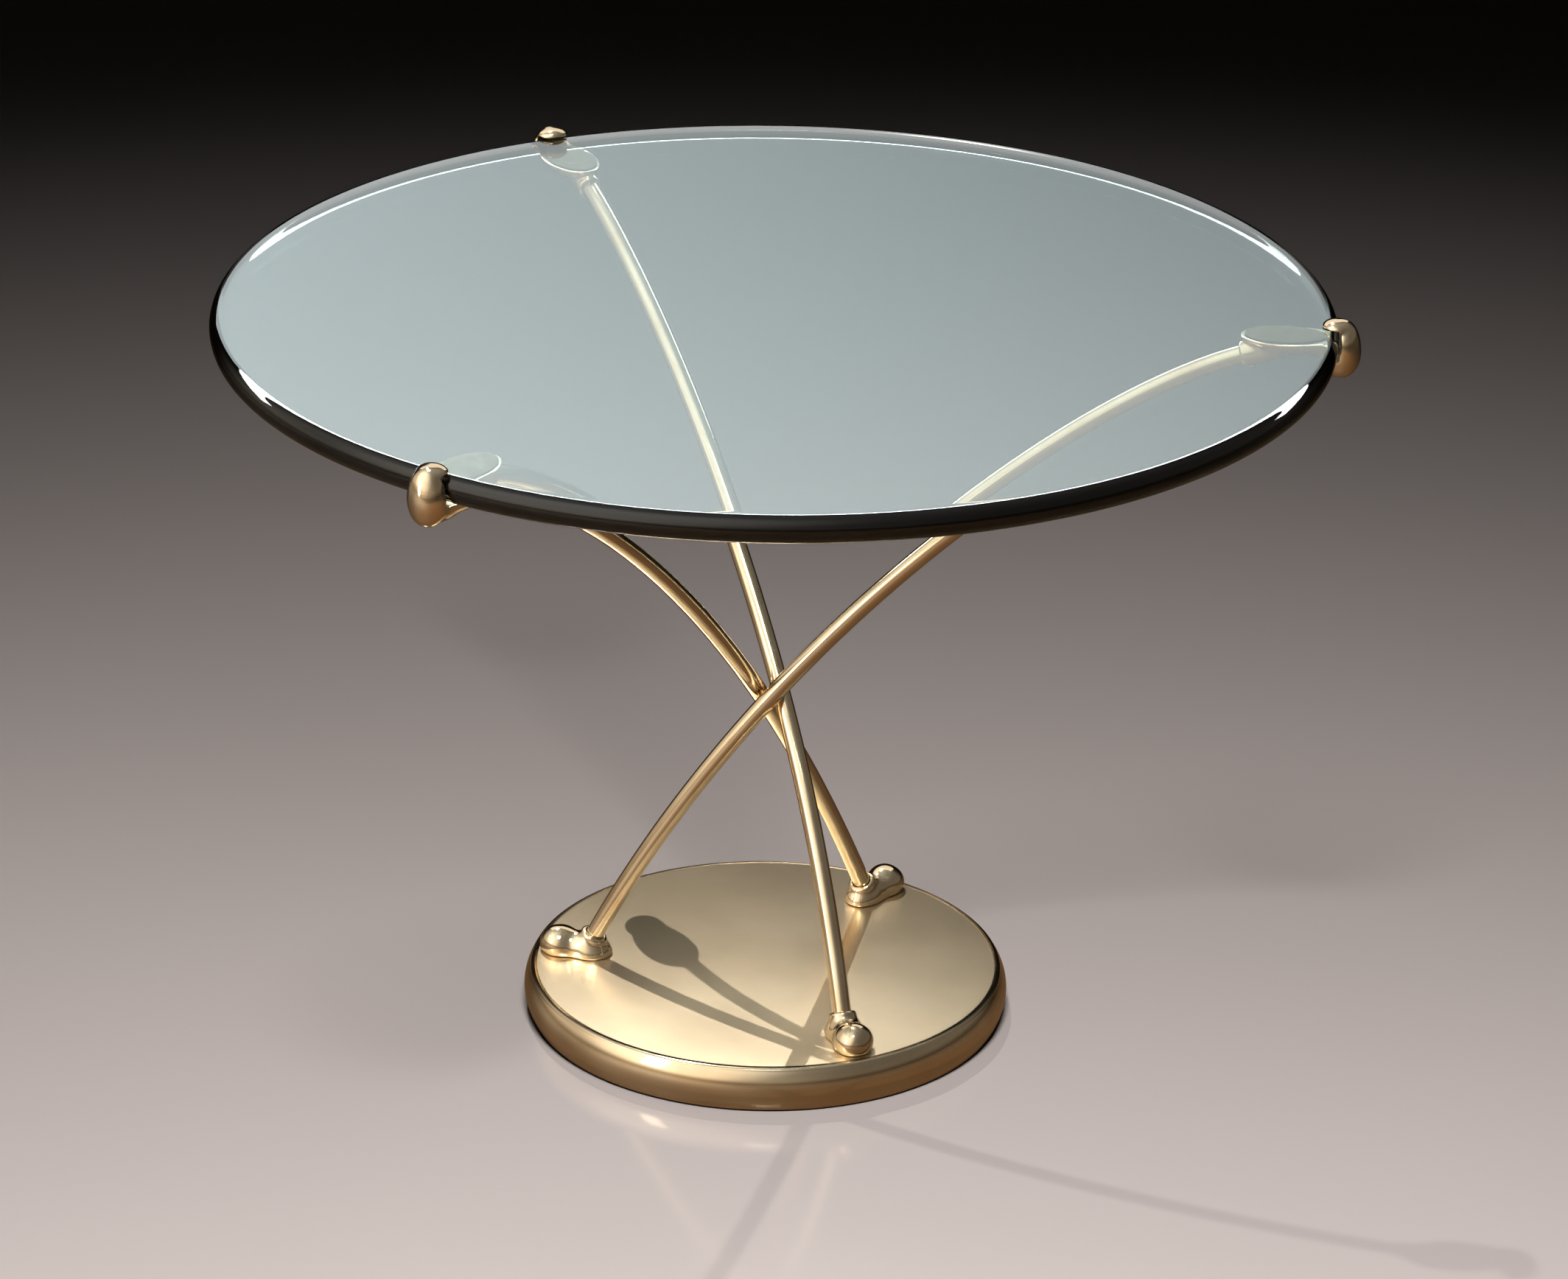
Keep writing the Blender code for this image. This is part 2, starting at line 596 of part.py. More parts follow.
    # countersunk screw that holds the bottom plate
    screw = add_object("plate_screw_" + letter,
                       lathe("plate_screw",
                             [(0.0, PLATE_BOTTOM_Z + 0.1 * MM),
                              (PLATE_SCREW_HEAD_R - 0.3 * MM,
                               PLATE_BOTTOM_Z + 0.1 * MM),
                              (PLATE_SCREW_R, PLATE_TOP_Z - 0.3 * MM),
                              (PLATE_SCREW_R, PLATE_SCREW_TOP_Z),
                              (0.0, PLATE_SCREW_TOP_Z)], 16,
                             (PLATE_SCREW_PITCH_R, 0.0)), ZINC_STEEL, turn)
    slot = add_cutter("cut_plate_hex_" + letter,
                      cylinder("cut_plate_hex", (PLATE_SCREW_PITCH_R, 0.0),
                               1.73 * MM, PLATE_BOTTOM_Z - 1 * MM,
                               PLATE_BOTTOM_Z + 1.6 * MM, 6), turn)
    combine(screw, slot, 'DIFFERENCE')
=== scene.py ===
"""Looks of the round glass-topped table on three crossed arched rods.

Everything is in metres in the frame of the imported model, +Z up, the table's
axis on Z and the floor at z = 0.  Shape helpers work in millimetres.
"""
from math import cos, pi, radians, sin, sqrt

import bmesh
import bpy
import numpy as np
from mathutils import Matrix, Vector


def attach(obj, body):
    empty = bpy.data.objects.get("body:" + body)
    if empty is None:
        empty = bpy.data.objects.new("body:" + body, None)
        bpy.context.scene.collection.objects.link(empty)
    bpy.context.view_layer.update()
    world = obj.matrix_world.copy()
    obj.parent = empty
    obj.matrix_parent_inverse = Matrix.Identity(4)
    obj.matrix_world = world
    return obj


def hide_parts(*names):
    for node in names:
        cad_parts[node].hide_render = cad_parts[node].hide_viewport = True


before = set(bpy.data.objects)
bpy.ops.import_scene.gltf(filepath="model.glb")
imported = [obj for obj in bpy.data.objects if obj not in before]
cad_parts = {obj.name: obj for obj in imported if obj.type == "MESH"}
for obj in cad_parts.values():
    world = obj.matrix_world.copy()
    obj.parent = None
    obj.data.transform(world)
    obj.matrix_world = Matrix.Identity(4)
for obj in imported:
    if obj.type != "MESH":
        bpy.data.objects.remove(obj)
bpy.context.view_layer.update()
MM = 0.001


# ============================================================== camera =====
EYE = Vector((0.0, -4.0225, 2.0311))
YAW, PITCH, ROLL = 0.0042, 0.41042, 0.015546
FOCAL_OVER_WIDTH = 8619.7 / 2128.0

camera_data = bpy.data.cameras.new("camera")
camera = bpy.data.objects.new("camera", camera_data)
bpy.context.scene.collection.objects.link(camera)
forward = Vector((sin(YAW) * cos(PITCH), cos(YAW) * cos(PITCH), -sin(PITCH)))
right = Vector((cos(YAW), -sin(YAW), 0.0))
up = right.cross(forward)
cam_x = right * cos(ROLL) + up * sin(ROLL)
cam_y = up * cos(ROLL) - right * sin(ROLL)
camera.matrix_world = Matrix((
    (cam_x.x, cam_y.x, -forward.x, EYE.x),
    (cam_x.y, cam_y.y, -forward.y, EYE.y),
    (cam_x.z, cam_y.z, -forward.z, EYE.z),
    (0.0, 0.0, 0.0, 1.0)))
camera_data.sensor_width = 36.0
camera_data.sensor_fit = 'HORIZONTAL'
camera_data.lens = 36.0 * FOCAL_OVER_WIDTH
camera_data.shift_x = -0.0068
camera_data.shift_y = -0.0002
camera_data.clip_end = 60.0
bpy.context.scene.camera = camera

# ========================================================== dimensions =====
GLASS_R, GLASS_TOP, GLASS_BOTTOM, GLASS_EDGE = 381.0, 527.0, 508.0, 8.6
SHELL_TOP, SHELL_BOTTOM, SHELL_WALL = 32.5, 1.2, 2.0
SHELL_FLAT_R, SHELL_R, SHELL_FOOT_R = 163.0, 170.3, 164.5
ROD_R = 6.35
TONGUE_TOP = 506.7
CLAW_ANGLE = radians(115.5)
FOOT_AXIS = radians(-72.0)
THIRD = 2 * pi / 3
STATIONS = ("a", "b", "c")


def polar(radius, angle, z):
    return np.array((radius * cos(angle), radius * sin(angle), z))


ROD_FOOT = polar(121.3, radians(-64.1), SHELL_TOP + 15.6)
ROD_CLAW = polar(320.0, radians(115.0), GLASS_TOP - 32.5)
heading = np.array((ROD_CLAW[0] - ROD_FOOT[0], ROD_CLAW[1] - ROD_FOOT[1], 0.0))
heading /= np.linalg.norm(heading)
_lean = radians(-4.3)
lean_up = (np.array((0, 0, 1.0)) * cos(_lean)
           + np.cross((0, 0, 1.0), heading) * sin(_lean))
FOOT_DIR = heading * cos(radians(63.8)) + lean_up * sin(radians(63.8))
CLAW_DIR = heading * cos(radians(17.6)) + lean_up * sin(radians(17.6))


def arch(t):
    p0, p3 = ROD_FOOT, ROD_CLAW
    p1 = p0 + FOOT_DIR * 278.4
    p2 = p3 - CLAW_DIR * 116.0
    s = 1 - t
    return p0 * s ** 3 + p1 * 3 * s * s * t + p2 * 3 * s * t * t + p3 * t ** 3


def turn_about_z(points, angle):
    c, s = cos(angle), sin(angle)
    out = np.array(points, dtype=float)
    x, y = out[..., 0].copy(), out[..., 1].copy()
    out[..., 0] = x * c - y * s
    out[..., 1] = x * s + y * c
    return out


# ======================================================= mesh utilities ====
def mesh_piece(name, verts, faces, smooth=True, uvs=None):
    mesh = bpy.data.meshes.new(name)
    mesh.from_pydata([tuple(v) for v in (np.asarray(verts) * MM).tolist()], [],
                     [tuple(int(i) for i in f) for f in faces])
    mesh.update()
    mesh.polygons.foreach_set("use_smooth", [smooth] * len(mesh.polygons))
    if uvs is not None:
        layer = mesh.uv_layers.new(name="along")
        loops = np.zeros(len(mesh.loops), dtype=np.int32)
        mesh.loops.foreach_get("vertex_index", loops)
        layer.data.foreach_set("uv", np.asarray(uvs)[loops].ravel())
    obj = bpy.data.objects.new(name, mesh)
    bpy.context.scene.collection.objects.link(obj)
    return obj


def recalc_outward(obj):
    bm = bmesh.new()
    bm.from_mesh(obj.data)
    bmesh.ops.recalc_face_normals(bm, faces=bm.faces)
    bm.to_mesh(obj.data)
    bm.free()
    obj.data.update()


def lathe(name, profile, steps, centre=(0.0, 0.0), closed=False):
    """Spin a radius/height profile about a vertical line; r = 0 ends close
    on a single point."""
    verts, rings = [], []
    for r, z in profile:
        if r < 1e-6:
            rings.append([len(verts)] * steps)
            verts.append((centre[0], centre[1], z))
        else:
            start = len(verts)
            for k in range(steps):
                a = 2 * pi * k / steps
                verts.append((centre[0] + r * cos(a),
                              centre[1] + r * sin(a), z))
            rings.append(list(range(start, start + steps)))
    pairs = list(zip(rings, rings[1:]))
    if closed:
        pairs.append((rings[-1], rings[0]))
    faces = []
    for low, high in pairs:
        for k in range(steps):
            j = (k + 1) % steps
            ring = []
            for i in (low[k], low[j], high[j], high[k]):
                if i not in ring:
                    ring.append(i)
            if len(ring) > 2:
                faces.append(ring)
    obj = mesh_piece(name, verts, faces)
    recalc_outward(obj)
    return obj


def sweep(name, path, radius, sides, angle):
    """A round bar along a path with flat ends, unwrapped along its length."""
    path = np.asarray(path)
    verts, uvs = [], []
    normal, travelled = None, 0.0
    for i, point in enumerate(path):
        tangent = path[min(i + 1, len(path) - 1)] - path[max(i - 1, 0)]
        tangent /= np.linalg.norm(tangent)
        if normal is None:
            normal = np.cross(tangent, (0.0, 0.0, 1.0))
        normal = normal - tangent * np.dot(normal, tangent)
        normal /= np.linalg.norm(normal)
        side = np.cross(tangent, normal)
        if i:
            travelled += float(np.linalg.norm(point - path[i - 1]))
        for k in range(sides):
            a = 2 * pi * k / sides
            verts.append(point + (normal * cos(a) + side * sin(a)) * radius)
            uvs.append((k / sides, travelled * MM))
    faces = []
    for i in range(len(path) - 1):
        for k in range(sides):
            j = (k + 1) % sides
            faces.append((i * sides + k, i * sides + j,
                          (i + 1) * sides + j, (i + 1) * sides + k))
    last = (len(path) - 1) * sides
    faces.append(list(range(sides))[::-1])
    faces.append([last + k for k in range(sides)])
    obj = mesh_piece(name, turn_about_z(verts, angle), faces, uvs=uvs)
    recalc_outward(obj)
    return obj


# ============================================ blended solids from fields ===
def ball(p, centre, radii, turn=0.0):
    q = p - np.asarray(centre, dtype=float)
    if turn:
        q = turn_about_z(q, -turn)
    r = np.asarray(radii, dtype=float)
    k0 = np.linalg.norm(q / r, axis=-1)
    k1 = np.linalg.norm(q / (r * r), axis=-1) + 1e-9
    return k0 * (k0 - 1.0) / k1


def bar(p, start, end, radius, round_ends=2.0):
    """Straight round bar with rounded end edges."""
    start, end = np.asarray(start, float), np.asarray(end, float)
    axis = end - start
    length = np.linalg.norm(axis)
    axis = axis / length
    q = p - start
    along = q @ axis
    radial = np.sqrt(np.maximum((q * q).sum(-1) - along ** 2, 0.0))
    dx = radial - (radius - round_ends)
    dz = np.abs(along - length / 2) - (length / 2 - round_ends)
    return (np.minimum(np.maximum(dx, dz), 0.0)
            + np.sqrt(np.maximum(dx, 0.0) ** 2 + np.maximum(dz, 0.0) ** 2)
            - round_ends)


def join(a, b, k):
    h = np.maximum(k - np.abs(a - b), 0.0) / k
    return np.minimum(a, b) - h * h * h * k / 6.0


def carve(a, b, k):
    """a with b taken away, the new edges rounded by about k."""
    return -join(-a, b, k)


def lumps(p, size, seed):
    """Slow, smooth unevenness between about -1 and 1."""
    rng = np.random.RandomState(seed)
    total = np.zeros(p.shape[:-1])
    for _ in range(9):
        d = rng.normal(size=3)
        d /= np.linalg.norm(d)
        wave = 2 * pi / (size * rng.uniform(0.75, 1.5))
        total += np.sin(p @ (d * wave) + rng.uniform(0, 2 * pi))
    return total / 4.2


def solid_from_field(field, low, high, step):
    """Surface nets over a grid, then each point is moved onto the surface."""
    low, high = np.asarray(low, float), np.asarray(high, float)
    axes = [np.arange(a, b + step, step) for a, b in zip(low, high)]
    grid = np.stack(np.meshgrid(*axes, indexing='ij'), axis=-1)
    values = np.empty(grid.shape[:3])
    for i in range(grid.shape[0]):
        values[i] = field(grid[i])
    inside = values < 0.0
    corners = np.zeros(tuple(n - 1 for n in values.shape), dtype=np.int32)
    for dx in (0, 1):
        for dy in (0, 1):
            for dz in (0, 1):
                corners += inside[dx:values.shape[0] - 1 + dx,
                                  dy:values.shape[1] - 1 + dy,
                                  dz:values.shape[2] - 1 + dz]
    cells = (corners > 0) & (corners < 8)
    index = np.full(cells.shape, -1, dtype=np.int64)
    index[cells] = np.arange(cells.sum())
    where = np.argwhere(cells)
    points = low + (where + 0.5) * step
    # pull each cell's point to the mean of its edge crossings
    total = np.zeros((len(where), 3))
    hits = np.zeros(len(where))
    for axis in range(3):
        others = [a for a in range(3) if a != axis]
        for u in (0, 1):
            for v in (0, 1):
                a = where.copy()
                a[:, others[0]] += u
                a[:, others[1]] += v
                b = a.copy()
                b[:, axis] += 1
                fa = values[a[:, 0], a[:, 1], a[:, 2]]
                fb = values[b[:, 0], b[:, 1], b[:, 2]]
                cross = (fa < 0) != (fb < 0)
                t = np.where(cross, fa / np.where(cross, fa - fb, 1.0), 0.0)
                pos = low + a * step
                pos[:, axis] += t * step
                total[cross] += pos[cross]
                hits += cross
    points = total / hits[:, None]
    quads = []
    for axis in range(3):
        u, v = [a for a in range(3) if a != axis]
        near = [slice(None)] * 3
        far = [slice(None)] * 3
        near[axis], far[axis] = slice(0, -1), slice(1, None)
        change = inside[tuple(near)] != inside[tuple(far)]
        edges = np.argwhere(change)
        edges = edges[(edges[:, u] > 0) & (edges[:, v] > 0)
                      & (edges[:, u] < cells.shape[u])
                      & (edges[:, v] < cells.shape[v])]
        ring = []
        for du, dv in ((-1, -1), (0, -1), (0, 0), (-1, 0)):
            c = edges.copy()
            c[:, u] += du
            c[:, v] += dv
            ring.append(index[c[:, 0], c[:, 1], c[:, 2]])
        ring = np.stack(ring, axis=1)
        starts_inside = inside[edges[:, 0], edges[:, 1], edges[:, 2]]
        flip = starts_inside if axis != 1 else ~starts_inside
        ring[~flip] = ring[~flip][:, ::-1]
        quads.append(ring)
    quads = np.concatenate(quads)
    eps = step * 0.2
    for _ in range(4):
        f = field(points)
        grad = np.stack([(field(points + d) - field(points - d)) / (2 * eps)
                         for d in np.eye(3) * eps], axis=-1)
        size = np.maximum((grad * grad).sum(-1), 0.05)
        move = -(f / size)[:, None] * grad
        length = np.linalg.norm(move, axis=-1, keepdims=True)
        points = points + move * np.minimum(1.0, step * 0.5
                                            / np.maximum(length, 1e-9))
    return points, quads


def relax(points, quads, field, rounds, step):
    """Even out the net along the surface, staying on it."""
    n = len(points)
    a = quads.ravel()
    b = np.roll(quads, -1, axis=1).ravel()
    eps = step * 0.2
    for _ in range(rounds):
        total = np.zeros((n, 3))
        count = np.zeros(n)
        for i, j in ((a, b), (b, a)):
            for axis in range(3):
                total[:, axis] += np.bincount(i, points[j, axis], n)
            count += np.bincount(i, minlength=n)
        mean = total / count[:, None]
        grad = np.stack([(field(points + d) - field(points - d)) / (2 * eps)
                         for d in np.eye(3) * eps], axis=-1)
        size = np.linalg.norm(grad, axis=-1, keepdims=True)
        normal = grad / np.maximum(size, 1e-6)
        shift = mean - points
        shift -= normal * (shift * normal).sum(-1, keepdims=True)
        points = points + 0.5 * shift
        f = field(points)
        points = points - (f[:, None] * normal
                           / np.maximum(size, 0.25)) * 0.9
    return points


# ================================================================ pieces ===
pieces = {}


def keep(obj, slot, *nodes):
    """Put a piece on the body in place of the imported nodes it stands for."""
    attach(obj, "root")
    if nodes:
        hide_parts(*nodes)
    pieces[obj.name] = obj
    return obj


# ---- glass disc
def glass_profile():
    mid, half = (GLASS_TOP + GLASS_BOTTOM) / 2, (GLASS_TOP - GLASS_BOTTOM) / 2
    edge = [(GLASS_R - 0.24 - GLASS_EDGE + GLASS_EDGE * cos(a),
             mid + half * sin(a))
            for a in (-pi / 2 + pi * k / 28 for k in range(29))]
    flats = (0.0, 90.0, 180.0, 260.0, 320.0, 355.0, 368.0)
    return ([(r, GLASS_BOTTOM) for r in flats] + edge
            + [(r, GLASS_TOP) for r in reversed(flats)])


glass = keep(lathe("glass_disc", glass_profile(), 288), "clear_glass",
             "glass_top")


# ---- base cover: satin top, bulging polished side
def shell_profile(offset, steps, flat_r):
    z_low, z_high = SHELL_BOTTOM, SHELL_TOP - offset
    points = []
    for k in range(steps + 1):
        f = k / steps
        bulge = sin(pi * (0.06 + 0.90 * f)) ** 0.75
        base_r = SHELL_FOOT_R + (flat_r - SHELL_FOOT_R) * f
        points.append((base_r - offset
                       + (SHELL_R - base_r) * bulge * (1 - offset / 30.0),
                       z_low + (z_high - z_low) * f))
    return points


outer = shell_profile(0.0, 40, SHELL_FLAT_R)
outer = [p for p in outer if p[1] < SHELL_TOP - 0.9]
edge_r = SHELL_FLAT_R - 0.5
outer += [(outer[-1][0] + (edge_r - outer[-1][0]) * (1 - cos(a)) * 1.0,
           outer[-1][1] + (SHELL_TOP - outer[-1][1]) * sin(a))
          for a in (pi / 2 * k / 5 for k in range(1, 6))]
inner = [(min(r, 168.0), z) for r, z in shell_profile(SHELL_WALL, 10,
                                                      SHELL_FLAT_R)]
shell_points = ([(0.0, SHELL_TOP - SHELL_WALL), (80.0, SHELL_TOP - SHELL_WALL)]
                + [(inner[-1][0] - 4.0, SHELL_TOP - SHELL_WALL)]
                + list(reversed(inner)) + outer
                + [(r, SHELL_TOP) for r in (161.8, 160.0, 150.0, 120.0, 80.0,
                                            40.0, 0.0)])
shell = lathe("base_cover", shell_points, 240)


def drill(obj, centre, radius, z0, z1, sides=32):
    """Take an upright round hole out of a piece."""
    bm = bmesh.new()
    bmesh.ops.create_cone(bm, cap_ends=True, segments=sides,
                          radius1=radius * MM, radius2=radius * MM,
                          depth=(z1 - z0) * MM)
    bmesh.ops.rotate(bm, verts=bm.verts, matrix=Matrix.Rotation(0.037, 3, 'Z'))
    bmesh.ops.translate(bm, verts=bm.verts,
                        vec=(centre[0] * MM, centre[1] * MM,
                             (z0 + z1) / 2 * MM))
    mesh = bpy.data.meshes.new("hole")
    bm.to_mesh(mesh)
    bm.free()
    tool = bpy.data.objects.new("hole", mesh)
    bpy.context.scene.collection.objects.link(tool)
    mod = obj.modifiers.new("hole", 'BOOLEAN')
    mod.operation, mod.solver, mod.object = 'DIFFERENCE', 'EXACT', tool
    graph = bpy.context.evaluated_depsgraph_get()
    cut = bpy.data.meshes.new_from_object(obj.evaluated_get(graph))
    obj.modifiers.remove(mod)
    obj.data = cut
    bpy.data.objects.remove(tool, do_unlink=True)


bolt_at = np.array((ROD_FOOT[0] + 21.0 * cos(FOOT_AXIS),
                    ROD_FOOT[1] + 21.0 * sin(FOOT_AXIS), 0.0))
for index in range(3):
    spot = turn_about_z(bolt_at, index * THIRD)
    drill(shell, spot, 4.3, SHELL_TOP - 6.0, SHELL_TOP + 4.0)
keep(shell, "satin_bronze", "base_shell")

# ---- arched rods
for index, letter in enumerate(STATIONS):
    count = 150
    path = [ROD_FOOT - FOOT_DIR * 9.0, ROD_FOOT - FOOT_DIR * 4.0]
    path += [arch(i / count) for i in range(count + 1)]
    path += [ROD_CLAW + CLAW_DIR * 5.0, ROD_CLAW + CLAW_DIR * 10.0]
    keep(sweep("arched_rod_" + letter, path, ROD_R, 40, index * THIRD),
         "polished_bronze", "leg_rod_" + letter)


# ---- foot castings
def along_foot(distance, z):
    return np.array((ROD_FOOT[0] + distance * cos(FOOT_AXIS),
                     ROD_FOOT[1] + distance * sin(FOOT_AXIS), z))


def foot_field(p):
    knuckle = ball(p, along_foot(25.6, SHELL_TOP + 6.0), (14.2, 13.8, 12.8),
                   FOOT_AXIS + 0.07)
    neck = ball(p, along_foot(13.0, SHELL_TOP + 3.0), (17.0, 11.4, 12.0),
                FOOT_AXIS - 0.05)
    toe = ball(p, along_foot(2.5, SHELL_TOP + 1.5), (14.5, 13.0, 11.0),
               FOOT_AXIS + 0.12)
    collar = bar(p, ROD_FOOT + FOOT_DIR * 0.6, ROD_FOOT - FOOT_DIR * 13.0,
                 9.6, 2.2)
    body = join(join(knuckle, neck, 6.5), join(toe, collar, 7.0), 7.5)
    body = body + 0.32 * lumps(p, 17.0, 11)
    socket = bar(p, ROD_FOOT + FOOT_DIR * 20.0, ROD_FOOT - FOOT_DIR * 9.3,
                 ROD_R + 0.3, 0.3)
    body = carve(body, socket, 1.3)
    bolt = bar(p, along_foot(21.0, SHELL_TOP - 8.0),
               along_foot(21.0, SHELL_TOP + 12.4), 4.3, 0.3)
    body = carve(body, bolt, 0.2)
    return carve(body, p[..., 2] - (SHELL_TOP + 0.3), 1.0)


# ---- claw castings, in a frame whose X runs out through the claw
claw_rod_end = turn_about_z(ROD_CLAW, -CLAW_ANGLE)
claw_rod_dir = turn_about_z(CLAW_DIR, -CLAW_ANGLE)


def claw_field(p):
    x, y, z = p[..., 0], p[..., 1], p[..., 2]
    # blade under the glass: egg outline, rounded belly, flat top
    waist = 1.0 - 0.10 * np.clip((x - 340.0) / 40.0, -1.0, 1.0)
    q = np.stack((x, y / waist, z), axis=-1)
    blade = ball(q, (350.5, 0.0, TONGUE_TOP), (36.5, 19.3, 11.0))
    arm = ball(p, (371.0, 0.0, 502.5), (16.5, 11.4, 9.5))
    boss = bar(p, claw_rod_end - claw_rod_dir * 5.0,
               claw_rod_end + claw_rod_dir * 24.0, 9.0, 2.2)
    taper = 1.0 - 0.06 * np.clip((z - 512.6) / 20.6, -1.0, 1.0)
    k = np.stack((383.2 + (x - 383.2) / taper, y / taper, z), axis=-1)
    knuckle = ball(k, (383.2, 0.0, 512.6), (12.5, 13.9, 20.2))
    lip = ball(p, (378.0, 0.0, 527.7), (9.4, 11.2, 5.4))
    hook = join(knuckle, lip, 3.0)
    near_rim = np.clip((x - 362.0) / 12.0, 0.0, 1.0)
    hook = hook + 0.32 * near_rim * lumps(p, 19.0, 4)
    body = join(blade, boss, 4.0)
    body = join(body, join(arm, hook, 5.0), 5.0)
    # everything in the way of the glass, its pads and a slit round them
    radial = np.sqrt(x * x + y * y)
    mid, half = (TONGUE_TOP + 528.3) / 2, (528.3 - TONGUE_TOP) / 2
    corner = 3.2
    dx = radial - (GLASS_R + 0.8 - corner)
    dz = np.abs(z - mid) - (half - corner)
    groove = (np.minimum(np.maximum(dx, dz), 0.0)
              + np.sqrt(np.maximum(dx, 0.0) ** 2 + np.maximum(dz, 0.0) ** 2)
              - corner)
    body = carve(body, groove, 1.4)
    socket = bar(p, claw_rod_end - claw_rod_dir * 30.0,
                 claw_rod_end + claw_rod_dir * 10.3, ROD_R + 0.3, 0.3)
    return carve(body, socket, 1.3)


STEP = 0.62
foot_box = (along_foot(12.0, 0.0)[:2] - 36.0, along_foot(12.0, 0.0)[:2] + 36.0)
points, quads = solid_from_field(
    foot_field, (*foot_box[0], SHELL_TOP - 1.3),
    (*foot_box[1], ROD_FOOT[2] + 16.2), STEP)
points = relax(points, quads, foot_field, 6, STEP)
foot_points, foot_quads = points, quads
points, quads = solid_from_field(
    claw_field, (303.0, -26.0, 479.0), (400.0, 26.0, 537.0), STEP)
points = relax(points, quads, claw_field, 6, STEP)
claw_points, claw_quads = points, quads
for index, letter in enumerate(STATIONS):
    obj = mesh_piece("cast_foot_" + letter,
                     turn_about_z(foot_points, index * THIRD), foot_quads)
    recalc_outward(obj)
    keep(obj, "polished_bronze", "foot_casting_" + letter)
    obj = mesh_piece("cast_claw_" + letter,
                     turn_about_z(claw_points, index * THIRD + CLAW_ANGLE),
                     claw_quads)
    recalc_outward(obj)
    keep(obj, "polished_bronze", "claw_casting_" + letter)


# ---- clear pads with rolled edges
def soft_pad(name, centre, half_x, half_y, z0, z1, angle, egg=0.0):
    sides, verts, faces, rings = 72, [], [], []
    mid, half = (z0 + z1) / 2, (z1 - z0) / 2
    layers = [(1.0 - (half / half_x) * (1 - cos(a)), mid + half * sin(a))
              for a in (-pi / 2 + pi * k / 8 for k in range(9))]
    layers = [(0.55, z0)] + layers + [(0.55, z1)]
    for scale, z in layers:
        rings.append(len(verts))
        for k in range(sides):
            a = 2 * pi * k / sides
            x = half_x * scale * cos(a)
            y = half_y * scale * sin(a) * (1 - egg * cos(a))
            verts.append((centre + x, y, z))
    for low, high in zip(rings, rings[1:]):
        for k in range(sides):
            j = (k + 1) % sides
            faces.append((low + k, low + j, high + j, high + k))
    for ring, z in ((rings[0], z0), (rings[-1], z1)):
        middle = len(verts)
        verts.append((centre, 0.0, z))
        for k in range(sides):
            faces.append((ring + k, ring + (k + 1) % sides, middle))
    obj = mesh_piece(name, turn_about_z(verts, angle), faces)
    recalc_outward(obj)
    return obj


for index, letter in enumerate(STATIONS):
    angle = index * THIRD + CLAW_ANGLE
    keep(soft_pad("soft_pad_" + letter, 344.5, 27.5, 16.2, 506.85, 507.85,
                  angle, 0.06),
         "clear_rubber", "claw_pad_" + letter)
    keep(soft_pad("lip_cushion_" + letter, 373.6, 4.6, 7.4, 527.15, 528.15,
                  angle), "clear_rubber", "lip_pad_" + letter)


# ============================================================= materials ===
def new_material(name):
    mat = bpy.data.materials.new(name)
    mat.use_nodes = True
    tree = mat.node_tree
    tree.nodes.clear()
    out = tree.nodes.new("ShaderNodeOutputMaterial")
    shader = tree.nodes.new("ShaderNodeBsdfPrincipled")
    tree.links.new(shader.outputs["BSDF"], out.inputs["Surface"])
    return mat, tree, shader, out


